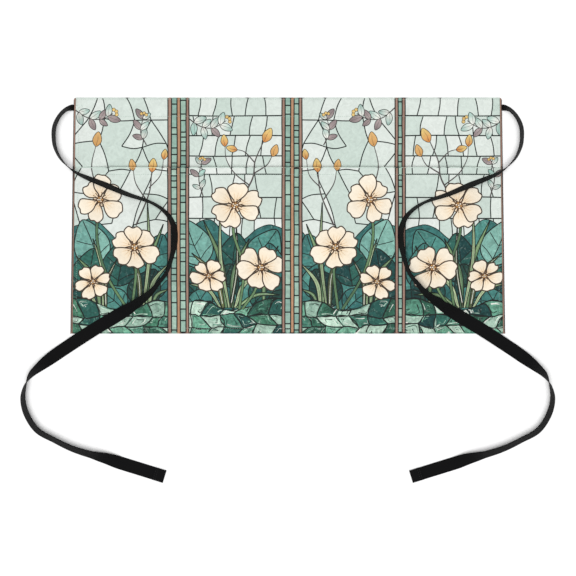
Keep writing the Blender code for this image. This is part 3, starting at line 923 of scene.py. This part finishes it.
# The number of the last outline drawn over each spot, or -1 outside the first one
def lastDrawn(rings, spots):
    order = np.argsort(spots[:, 0])
    xs, ys = spots[order, 0], spots[order, 1]
    found = np.full(len(spots), -1)
    for number, ring in enumerate(rings):
        left, right = np.searchsorted(xs, (min(p.x for p in ring), max(p.x for p in ring)))
        level = ys[left:right]
        near = np.nonzero((level > min(p.y for p in ring)) & (level < max(p.y for p in ring)))[0] + left
        hit = order[near[insideOf(ring, xs[near], ys[near])]]
        found[hit[found[hit] >= 0] if number else hit] = number
    return found


# No operator cuts a mesh along overlapping outlines, so Blender's own triangulator does it. Gives its points,
# its triangles and the number of the outline that shows in each.
def triangulated(points, edges, rings):
    flat, _, faces, _, _, _ = delaunay_2d_cdt(points, edges, [], 0, picture["merge"], False)
    faces = np.array(faces)
    return flat, faces, lastDrawn(rings, np.array([(p.x, p.y) for p in flat])[faces].mean(axis=1))


# The values of the faces on both sides of each edge
def besideEdges(faces, values):
    found = {}
    for (a, b, c), value in zip(faces, values):
        for edge in ((a, b), (b, c), (c, a)):
            found.setdefault(tuple(sorted(edge)), []).append(value)
    return found


# Numbers the panes: faces of one tone that hang together
def paneNumbers(faces, toneOf):
    beside = besideEdges(faces, range(len(faces)))
    panes, count = [-1] * len(faces), 0
    for first in range(len(faces)):
        if panes[first] >= 0:
            continue
        waiting, panes[first] = [first], count
        while waiting:
            i = waiting.pop()
            a, b, c = faces[i]
            for edge in ((a, b), (b, c), (c, a)):
                for j in beside[tuple(sorted(edge))]:
                    if panes[j] < 0 and toneOf[j] == toneOf[i]:
                        panes[j] = count
                        waiting.append(j)
        count += 1
    return panes, count


# A sheet cut along the outlines of the print, so that each pane and lead has its own faces and crisp edges at
# any distance. It is cut once along every outline, and once more along those that still show, so that hidden
# ones cost no faces. Each face takes the colour of the last outline drawn over it, and panes parted by leads
# differ a little. The cuts are extra lines along which the cloth bends down from its hems.
def printedSheet(name, outline, drawing, underAt, cuts, finishes, seed):
    rings = [list(outline)] + [part[0] for part in drawing]
    points, edges = [], []
    for ring in rings:
        first = len(points)
        edges += [(first + i, first + (i + 1) % len(ring)) for i in range(len(ring))]
        points.extend(ring)
    flat, faces, top = triangulated(points, edges, rings)
    kinds, kind, outside = {}, [-1], -2
    for _, tone, heart, _ in drawing:
        kind.append(kinds.setdefault((tone, heart and tuple(heart)), len(kinds)))
    beside = besideEdges(faces.tolist(), [outside if number < 0 else kind[number] for number in top.tolist()])
    shown = [edge for edge, both in beside.items() if len(set(both + [outside] * (2 - len(both)))) > 1]
    used = {v: i for i, v in enumerate(sorted({v for edge in shown for v in edge}))}
    points = [flat[v] for v in used]
    low, high, half = min(p.y for p in outline), max(p.y for p in outline), picture["halfWidth"]
    columns, rows = int((2 * half + 2) / picture["cell"]), int((high - low) / picture["cell"])
    for i in range(columns + 1):
        for j in range(rows):
            points.append(Vector((-half + 2 * half * i / columns, low + (high - low) * (j + 0.5) / rows)))
    edges = [(used[a], used[b]) for a, b in shown]
    for ends in cuts:
        edges.append((len(points), len(points) + 1))
        points += [Vector(end) for end in ends]
    flat, faces, top = triangulated(points, edges, rings)
    faces, top = faces[top >= 0].tolist(), top[top >= 0].tolist()
    toneOf = [drawing[number - 1][1] if number else "sky" for number in top]
    panes, count = paneNumbers(faces, toneOf)
    dice = random.Random(seed)
    shades = [dice.uniform(-1, 1) for _ in range(count)]
    inks = {tone: (toLinear(a)[:3], toLinear(b)[:3], *rest) for tone, (a, b, *rest) in tones.items()}
    shape = bmesh.new()
    ink = shape.loops.layers.float_color.new("ink")
    verts = {}
    for v in sorted({v for face in faces for v in face}):
        x, y = flat[v].x / 1000, bottomY + flat[v].y / 1000
        verts[v] = shape.verts.new((x, y, underAt(unflared(x, y), y) + cloth["layer"]))
    for face, number, tone, pane in zip(faces, top, toneOf, panes):
        made = shape.faces.new([verts[v] for v in face])
        inner, outer, marbled, spread = inks[tone]
        heart, reach = drawing[number - 1][2:] if number else (None, 1)
        shade = 1 + spread * shades[pane]
        for loop, v in zip(made.loops, face):
            share = smoothStep((flat[v] - Vector(heart)).length / reach) if heart else (1 - shades[pane]) / 2
            loop[ink] = [(a + (b - a) * share) * shade for a, b in zip(inner, outer)] + [marbled]
    piece = addPiece(name, shape, finishes[0])
    piece.data.materials.append(finishes[1])
    addThickness(piece, cloth["layer"], -1).material_offset = 1
    print(name, "has", len(faces), "faces and", count, "panes")
    return piece


# Hems, in metres: rows in the curl, inset of the pocket's top edge, spacing along the hem, the nick between
# two reaches, how far inside the edge the ink is taken, share of the cloth's thickness, how much paler the
# mouth's fold is painted, as painted light against the shade of its curl, and the length of a level hem's
# ends. Just above the mouth the side hems drop from the pocket to the main cloth, and round it their points
# are closer together.
hem = {"turn": 7, "inset": 0.00118, "step": 0.004, "nick": 0.0001, "ink": 0.0014, "fit": 0.97,
       "mouthPaintedLight": 1.3, "ends": 0.0027, "dropFrom": 0.0003, "drop": 0.0027, "starts": (0.0019, 0.006),
       "byMouth": ((-0.0185, 0.0, 0.002), (0.0004, 0.003, 0.0006)), "coarseTo": 0.0205, "coarseFrom": 0.006}


def edgeX(y):
    share = y / 1000 / cloth["height"]
    return 500 * (cloth["bottomWidth"] + (cloth["topWidth"] - cloth["bottomWidth"]) * share)


# Middle height of the uppermost cloth along a side edge: the pocket, and above its mouth the main cloth
def rollTop(y):
    pocket, main = pocketUnder(sideX, min(y, mouthY)), mainUnder(sideX, y)
    dropped = smoothStep((y - mouthY - hem["dropFrom"]) / hem["drop"])
    return cloth["layer"] / 2 + main + (pocket - main) * (1 - dropped)


# How far inside the outline the uppermost cloth turns over into the hem, in millimetres
def rollInset(y):
    return 500 * (rollTop(bottomY + y / 1000) + cloth["layer"] / 2) + 0.03


# Both outlines are given by their right half, from the bottom up, and mirrored
def mainOutline():
    top, mouth, inset, behind = picture["top"], picture["mouth"], rollInset(picture["top"]), 2.6
    r = cloth["corner"] * 1000 - inset
    ring = [(edgeX(0) - behind, behind), (edgeX(mouth) - behind, mouth - 1)]
    ring += [(edgeX(mouth + y) - rollInset(mouth + y), mouth + y) for y in (0.0, 0.6, 1.2, 1.8, 2.4, 3.0)]
    for a in (math.pi / 2 * i / 5 for i in range(6)):
        ring.append((edgeX(top) - inset - r + r * math.cos(a), top - inset - r + r * math.sin(a)))
    return [Vector(point) for point in ring + [(-x, y) for x, y in ring[::-1]]]


def pocketOutline():
    mouth = picture["mouth"]
    ring = [(edgeX(0) - rollInset(0), rollInset(0))]
    ring += [(edgeX(mouth - y) - rollInset(mouth - y), mouth - y) for y in (20.5, 18, 16, 14, 12)]
    ring.append((edgeX(mouth) - rollInset(mouth), mouth - hem["inset"] * 1000))
    return [Vector(point) for point in ring + [(-x, y) for x, y in ring[::-1]]]


# The cloth curls round its edge and lies flat below. Each row of a line is a point on the outer edge, the
# direction into the cloth and how far the turned layer reaches. Only the outside of the curl and the
# underside are printed, in the colour that the print has there, times a painted light factor that makes the
# mouth's fold paler against the shade of its curl. The inside is bare.
def addHem(name, node, line, heights, finishes, paintedLight=1.0):
    columns, rows, layer = len(line) - 1, hem["turn"] + 2, cloth["layer"]
    half, low, high = (picture["halfWidth"] + picture["bleed"], -picture["bleed"],
                       picture["top"] + picture["bleed"])
    field = [Vector(corner) for corner in ((-half, low), (half, low), (half, high), (-half, high))]
    inside = [spot + into * hem["ink"] for spot, into, _ in line]
    drawn = lastDrawn([field] + [part[0] for part in design],
                      np.array([(p.x * 1000, (p.y - bottomY) * 1000) for p in inside]))
    colours, edgeLine = [], toLinear(tones["lead"][1])[:3] + [0.05]
    for number in drawn.tolist():
        _, rim, marbled, _ = tones[design[number - 1][1] if number > 0 else "sky"]
        # Painted light: the ink is scaled up, paler, to offset the shade of the curl along the mouth
        colours.append([c * paintedLight for c in toLinear(rim)[:3]] + [marbled])

    def place(s, t):
        column, row = round(s * columns), round(t * rows)
        spot, into, reach = line[column]
        top, low = heights(spot)
        radius = (top - low) / 2
        turn = math.pi * min(row / hem["turn"], 1)
        start = radius + layer / 2
        flatShare = max(row - hem["turn"], 0) / 2
        out = start - radius * math.sin(turn) + max(reach - start, hem["nick"]) * flatShare
        return (*(spot + into * out), low + radius * (1 + math.cos(turn)))

    # The sides have a dark line along their outermost edge
    def inkAt(s, t):
        column = round(s * columns)
        outermost = 1 <= round(t * rows) <= hem["turn"] - 2 and line[column][1].y == 0
        return edgeLine if outermost else colours[column]

    piece = gridPiece(name, columns, rows, place, finishes[0], inkAt=inkAt)
    if max(piece.data.polygons, key=lambda face: face.center.z).normal.z < 0:
        piece.data.flip_normals()
    piece.data.materials.append(finishes[1])
    addThickness(piece, layer * hem["fit"]).material_offset = 1
    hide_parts(node)
    return piece


def spaced(first, last, size):
    count = max(1, round(abs(last - first) / size))
    return [first + (last - first) * i / count for i in range(count + 1)]


# Along one side, up to where the tie comes out: (edge point, inwards, reach) from the bottom to the waist.
# The points are closer together round the mouth, where the edge steps down from the pocket.
def sideLine(side):
    low, high = bottomY + cloth["bottomHem"] + cloth["gap"], waistY - cloth["waistHem"] - cloth["gap"]
    found = [(y, 0.0) for y in [bottomY + up for up in hem["starts"]] + [low - hem["nick"]]]
    along = spaced(low, mouthY - hem["coarseTo"], hem["step"])
    for first, last, size in hem["byMouth"]:
        along += spaced(mouthY + first, mouthY + last, size)
    along += spaced(mouthY + hem["coarseFrom"], high, hem["step"])
    found += [(y, cloth["sideHem"]) for y in along]
    byTie = (high + hem["nick"], tieHeight - tape["rootWidth"] / 2 - cloth["gap"])
    found += [(y, tape["tuck"] + cloth["gap"]) for y in byTie]
    return [(Vector((side * flared(sideX, y), y)), Vector((-side, 0)), reach) for y, reach in found]


# From above the left tie up round the corner, along the waist and down to above the right tie
def waistLine():
    r, edge = cloth["corner"], flared(sideX, waistY)
    right = [(Vector((edge, tieHeight + tape["rootWidth"] / 2 + cloth["gap"])), Vector((-1, 0)), 0.0)]
    for a in (math.pi / 2 * i / 6 for i in range(7)):
        out = Vector((math.cos(a), math.sin(a)))
        right.append((Vector((edge - r, waistY - r)) + out * r, -out, 0.0))
    clear = edge - tape["tuck"] - cloth["gap"]
    above = waistY - tieHeight - tape["rootWidth"] / 2 - cloth["gap"]
    down = Vector((0, -1))
    right += [(Vector((x, waistY)), down, above)
              for x in (edge - r - hem["nick"], clear + hem["step"], clear)]
    right += [(Vector((x, waistY)), down, cloth["waistHem"])
              for x in spaced(clear - hem["nick"], 0, hem["step"])]
    left = [(Vector((-spot.x, spot.y)), Vector((-into.x, into.y)), reach) for spot, into, reach in right[:-1]]
    return left + right[::-1]


# Along a level edge, kept clear of the side edges. Its hem may have another reach near its ends.
def levelLine(y, up, clear, reach, endReach=0.0):
    edge, last = flared(sideX, y) - clear, hem["ends"]
    row = [(-edge, endReach), (-edge + last, endReach)]
    inner = edge - last - hem["nick"]
    row += [(x, reach) for x in spaced(-inner, inner, hem["step"])]
    row += [(edge - last, endReach), (edge, endReach)]
    return [(Vector((x, y)), Vector((0, up)), reach) for x, reach in row]


def edgeHeights(spot):
    return rollTop(spot.y), cloth["layer"] / 2


def mouthHeights(spot):
    top = pocketUnder(unflared(spot.x, mouthY), mouthY) + cloth["layer"] / 2
    return top, top - cloth["layer"] - cloth["gap"]


# Stitches: a grain of thread for each, sunk a little in the cloth. The ties are held by a crossed box.
stitch = {"length": 0.0024, "pitch": 0.0031, "wide": 0.00046, "high": 0.00034, "proud": 0.00003,
          "twist": 2500, "short": 0.003, "aboveMouth": 0.004, "belowWaist": 0.002, "boxHalf": 0.0036,
          "boxNear": 0.003, "boxFar": 0.0125, "tieRows": (0.0105, 0.0130), "tieShare": 0.42}


def stitchRow(shape, corners, heightAt):
    corners = [Vector(corner) for corner in corners]
    for a, b in zip(corners, corners[1:]):
        count = max(1, round((b - a).length / stitch["pitch"]))
        turn = Matrix.Rotation(math.atan2(b.y - a.y, b.x - a.x), 4, "Z")
        size = Matrix.Diagonal((stitch["length"] / 2, stitch["wide"] / 2, stitch["high"] / 2, 1))
        for i in range(count):
            spot = a.lerp(b, (i + 0.5) / count)
            move = Matrix.Translation((spot.x, spot.y, heightAt(spot.x, spot.y) + stitch["proud"]))
            bmesh.ops.create_icosphere(shape, subdivisions=1, radius=1, matrix=move @ turn @ size)


def mainTop(x, y):
    return mainUnder(unflared(x, y), y) + cloth["layer"]


def pocketTop(x, y):
    return pocketUnder(unflared(x, y), y) + cloth["layer"]


def sideSpot(side, y, inset):
    return side * (flared(sideX, y) - inset), y


# A row across the whole apron, inset from both side edges
def levelRow(y, inset):
    return sideSpot(-1, y, inset), sideSpot(1, y, inset)


def addStitches(finish):
    rows, low = bmesh.new(), waistY - seam["waist"]
    near, far = stitch["boxNear"], stitch["boxFar"]
    for inset in (seam["waist"], seam["top"]):
        stitchRow(rows, levelRow(waistY - inset, stitch["short"]), mainTop)
    for side in (-1, 1):
        ends = (mouthY + stitch["aboveMouth"], low - stitch["belowWaist"])
        stitchRow(rows, [sideSpot(side, y, seam["side"]) for y in ends], mainTop)
        box = [sideSpot(side, tieHeight + up * stitch["boxHalf"], out)
               for up, out in ((-1, near), (1, near), (1, far), (-1, far), (-1, near), (1, far))]
        stitchRow(rows, box, mainTop)
        stitchRow(rows, (box[1], box[3]), mainTop)
    addPiece("mainStitches", rows, finish)
    rows, low = bmesh.new(), bottomY + seam["side"]
    for side in (-1, 1):
        ends = (low, mouthY - stitch["short"])
        stitchRow(rows, [sideSpot(side, y, seam["side"]) for y in ends], pocketTop)
    for y in (low, mouthY - seam["mouth"]):
        stitchRow(rows, levelRow(y, seam["side"]), pocketTop)
    addPiece("pocketStitches", rows, finish)


# Two rows across each turned-back tie end
def addTieStitches(finish, line):
    end, across, _ = line[-1]
    back = (line[-3][0] - end).normalized()
    for side, word in ((-1, "left"), (1, "right")):
        rows = bmesh.new()
        for reach in stitch["tieRows"]:
            ends = [end + back * reach + across * tape["width"] * half
                    for half in (-stitch["tieShare"], stitch["tieShare"])]
            top = end.z + tape["thick"] * 1.5 + cloth["gap"]
            stitchRow(rows, [(-side * p.x, p.y) for p in ends], lambda x, y: top)
        addPiece(word + "TieStitches", rows, finish)


addStage()
print("table and light made")
printFinish, backFinish = printedCanvas(), canvasReverse()
design = apronPrint()
print("print drawn with", len(design), "outlines")
lowest = picture["mouth"] - picture["behind"]
aboveMouth = [part for part in design if max(point.y for point in part[0]) > lowest]
finishes = (printFinish, backFinish)
# Lines in millimetres along which the cloth falls: reaches in from the edge with a 12 mm hem, and more for
# the waist hem. They end a little inside the cloth.
fall = {"reaches": (12, 14, 16, 18, 20), "waistMore": 16, "mainHalf": 297, "mouthHalf": 295, "low": 3,
        "high": 324}
levels = [*fall["reaches"]] + [picture["top"] - (reach + fall["waistMore"]) for reach in fall["reaches"]]
mainCuts = [((-fall["mainHalf"], y), (fall["mainHalf"], y)) for y in levels]
for side in (-1, 1):
    for reach in fall["reaches"]:
        foot, head = edgeX(0) - reach, edgeX(picture["top"]) - reach
        mainCuts.append(((side * foot, fall["low"]), (side * head, fall["high"])))
mouthCuts = [((-fall["mouthHalf"], picture["mouth"] - reach), (fall["mouthHalf"], picture["mouth"] - reach))
             for reach in fall["reaches"]]
mainCloth = printedSheet("mainCloth", mainOutline(), aboveMouth, mainUnder, mainCuts, finishes, 3)
pocketCloth = printedSheet("pocketCloth", pocketOutline(), design, pocketUnder, mouthCuts, finishes, 8)
for piece, node in ((mainCloth, "main_panel"), (pocketCloth, "pocket_panel")):
    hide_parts(node)
bottomLine = levelLine(bottomY, 1, 0.0, cloth["bottomHem"])
hems = [addHem("waistHem", "waist_hem", waistLine(), edgeHeights, finishes),
        addHem("bottomHem", "bottom_hem", bottomLine, edgeHeights, finishes),
        addHem("leftHem", "left_side_hem", sideLine(-1), edgeHeights, finishes),
        addHem("rightHem", "right_side_hem", sideLine(1), edgeHeights, finishes)]
mouthLine = levelLine(mouthY, -1, hem["ends"], cloth["mouthHem"], cloth["mouthHem"])
# The mouth's fold is printed paler, as painted light against the shade of its curl
mouthHem = addHem("mouthHem", "pocket_mouth_hem", mouthLine, mouthHeights, finishes, hem["mouthPaintedLight"])
print("hems made")
addStitches(sewingThread("sageSewingThread", "#a9bfb3"))
addTieStitches(sewingThread("blackSewingThread", "#1b1b1c"), middle)
print("stitches made")
